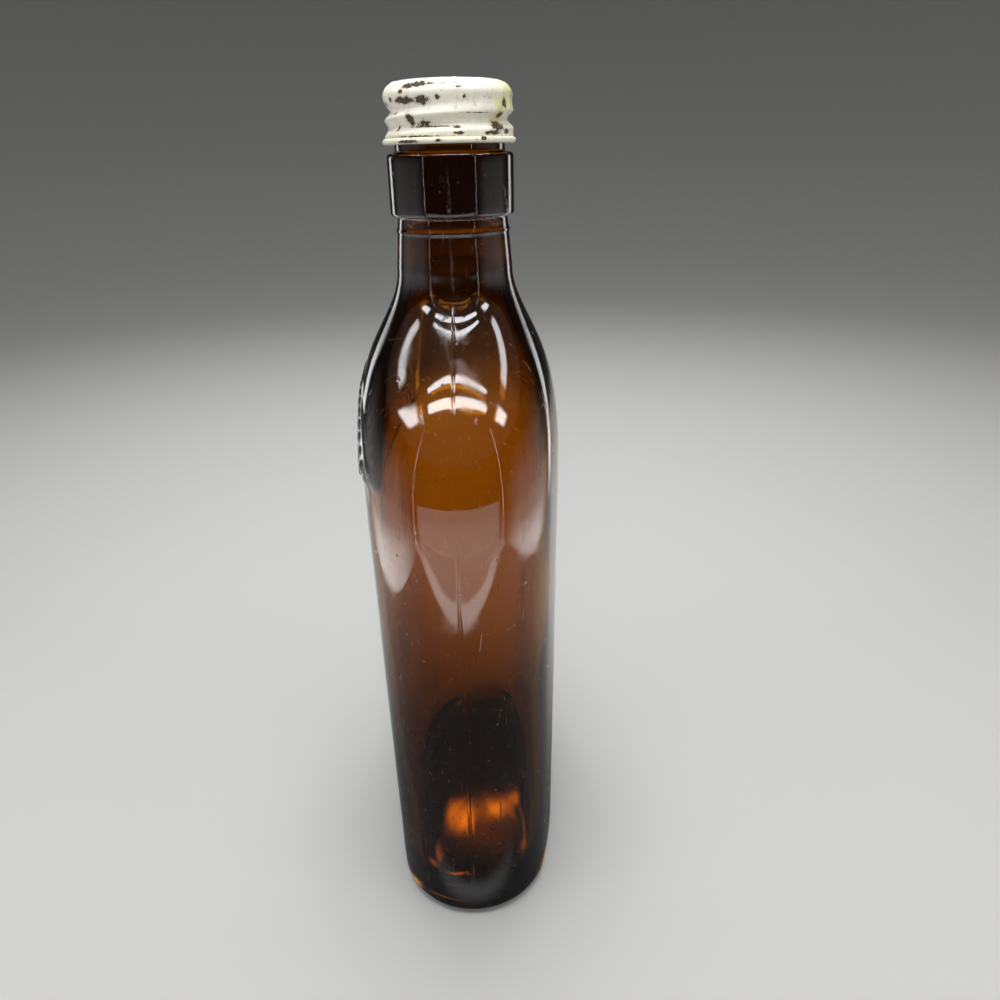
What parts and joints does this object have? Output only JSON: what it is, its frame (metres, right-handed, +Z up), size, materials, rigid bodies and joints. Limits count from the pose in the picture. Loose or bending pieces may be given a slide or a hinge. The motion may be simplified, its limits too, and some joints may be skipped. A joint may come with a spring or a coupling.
{
  "type": "liquor flask",
  "caption": "Flat amber glass liquor flask, empty and closed: oval body, sloping shoulders, collared round neck and a worn cream metal screw cap.",
  "frame": {"origin": "middle of the base, on the surface that the flask stands on", "axes": "+Z up through the mouth, X across the flask's width, Y through its thickness"},
  "size_m": [0.09, 0.0494, 0.2062],
  "materials": {
    "amber_glass": "gloss",
    "cream_enamel": "satin"
  },
  "bodies": {
    "root": {"flask_glass": "amber_glass", "screw_cap": "cream_enamel"}
  },
  "joints": []
}
